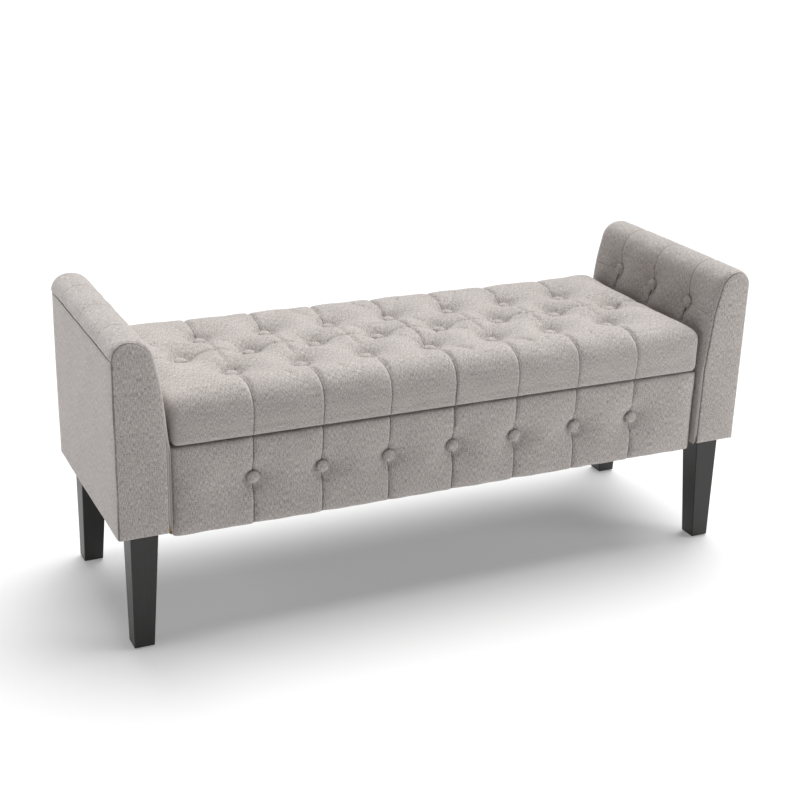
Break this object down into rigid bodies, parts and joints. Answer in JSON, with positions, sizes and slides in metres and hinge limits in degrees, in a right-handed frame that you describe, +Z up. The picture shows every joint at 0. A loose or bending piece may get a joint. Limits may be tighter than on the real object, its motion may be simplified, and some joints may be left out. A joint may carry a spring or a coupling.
{
  "type": "storage bench",
  "caption": "Upholstered storage bench with a diamond-tufted hinged seat, padded arms, a buttoned front and tapered legs.",
  "frame": {"origin": "on the floor under the middle of the bench", "axes": "+X along the length, to the right as seen from the front; -Y towards the front; +Z up"},
  "size_m": [1.27, 0.43, 0.575],
  "materials": {
    "upholstery": "matt woven linen look",
    "covered_buttons": "matt woven linen look over a domed button",
    "dust_cloth": "matt non-woven",
    "lining_cloth": "matt non-woven",
    "leg_wood": "dark stained and satin lacquered",
    "plywood": "raw plywood",
    "hardboard": "raw hardboard",
    "pine": "raw planed pine",
    "zinc_steel": "zinc plated",
    "hinge_steel": "zinc plated",
    "stay_steel": "zinc plated",
    "glide_plastic": "moulded, matt",
    "bumper_rubber": "matt"
  },
  "bodies": {
    "bench": {"arm_back_facing_left": "upholstery", "arm_back_facing_right": "upholstery", "arm_base_panels": "plywood", "arm_bolts": "zinc_steel", "arm_buttons_left": "covered_buttons", "arm_buttons_right": "covered_buttons", "arm_dust_covers": "dust_cloth", "arm_front_facing_left": "upholstery", "arm_front_facing_right": "upholstery", "arm_inner_panels": "hardboard", "arm_outer_cover_left": "upholstery", "arm_outer_cover_right": "upholstery", "arm_outer_panels": "plywood", "arm_pad_left": "upholstery", "arm_pad_right": "upholstery", "arm_rails_left": "pine", "arm_rails_right": "pine", "arm_ribs": "plywood", "back_board": "plywood", "back_cover": "upholstery", "bottom_battens": "pine", "bottom_board": "plywood", "box_dust_cover": "dust_cloth", "box_screws": "zinc_steel", "corner_blocks": "pine", "end_board_left": "plywood", "end_board_right": "plywood", "front_board": "plywood", "front_buttons": "covered_buttons", "front_pad": "upholstery", "hinge_box_leaves": "hinge_steel", "hinge_pins": "hinge_steel", "hinge_rail": "pine", "leg_back_left": "leg_wood", "leg_back_right": "leg_wood", "leg_front_left": "leg_wood", "leg_front_right": "leg_wood", "leg_glides": "glide_plastic", "leg_hanger_bolts": "zinc_steel", "rim_cover": "upholstery", "stay_box_brackets": "stay_steel", "stay_box_rivets": "stay_steel", "storage_lining": "lining_cloth", "tee_nuts": "zinc_steel"},
    "lid": {"lid_board": "plywood", "lid_pad": "upholstery", "lid_buttons": "covered_buttons", "lid_dust_cover": "dust_cloth", "lid_bumpers": "bumper_rubber", "hinge_lid_leaves": "hinge_steel", "lid_screws": "zinc_steel", "stay_lid_brackets": "stay_steel", "stay_lid_rivets": "stay_steel"},
    "stay_lower_left": {"stay_lower_arm_left": "stay_steel", "stay_elbow_rivet_left": "stay_steel"},
    "stay_upper_left": {"stay_upper_arm_left": "stay_steel"},
    "stay_lower_right": {"stay_lower_arm_right": "stay_steel", "stay_elbow_rivet_right": "stay_steel"},
    "stay_upper_right": {"stay_upper_arm_right": "stay_steel"}
  },
  "joints": [
    {"name": "lid_hinge", "type": "hinge", "parent": "bench", "child": "lid", "pos_m": [0, 0.209, 0.376], "axis": [-1, 0, 0], "range_deg": [0, 85]},
    {"name": "stay_box_pivot_left", "type": "hinge", "parent": "bench", "child": "stay_lower_left", "pos_m": [-0.5173, 0.143, 0.31975], "axis": [-1, 0, 0], "range_deg": [0, 85]},
    {"name": "stay_lid_pivot_left", "type": "hinge", "parent": "lid", "child": "stay_upper_left", "pos_m": [-0.5151, 0.039, 0.362], "axis": [-1, 0, 0], "range_deg": [-85, 0]},
    {"name": "stay_box_pivot_right", "type": "hinge", "parent": "bench", "child": "stay_lower_right", "pos_m": [0.5173, 0.143, 0.31975], "axis": [-1, 0, 0], "range_deg": [0, 85]},
    {"name": "stay_lid_pivot_right", "type": "hinge", "parent": "lid", "child": "stay_upper_right", "pos_m": [0.5151, 0.039, 0.362], "axis": [-1, 0, 0], "range_deg": [-85, 0]}
  ],
  "couplings": [
    {"joint": "stay_box_pivot_left", "follows": "lid_hinge", "ratio": 1},
    {"joint": "stay_lid_pivot_left", "follows": "lid_hinge", "ratio": -1},
    {"joint": "stay_box_pivot_right", "follows": "lid_hinge", "ratio": 1},
    {"joint": "stay_lid_pivot_right", "follows": "lid_hinge", "ratio": -1}
  ]
}
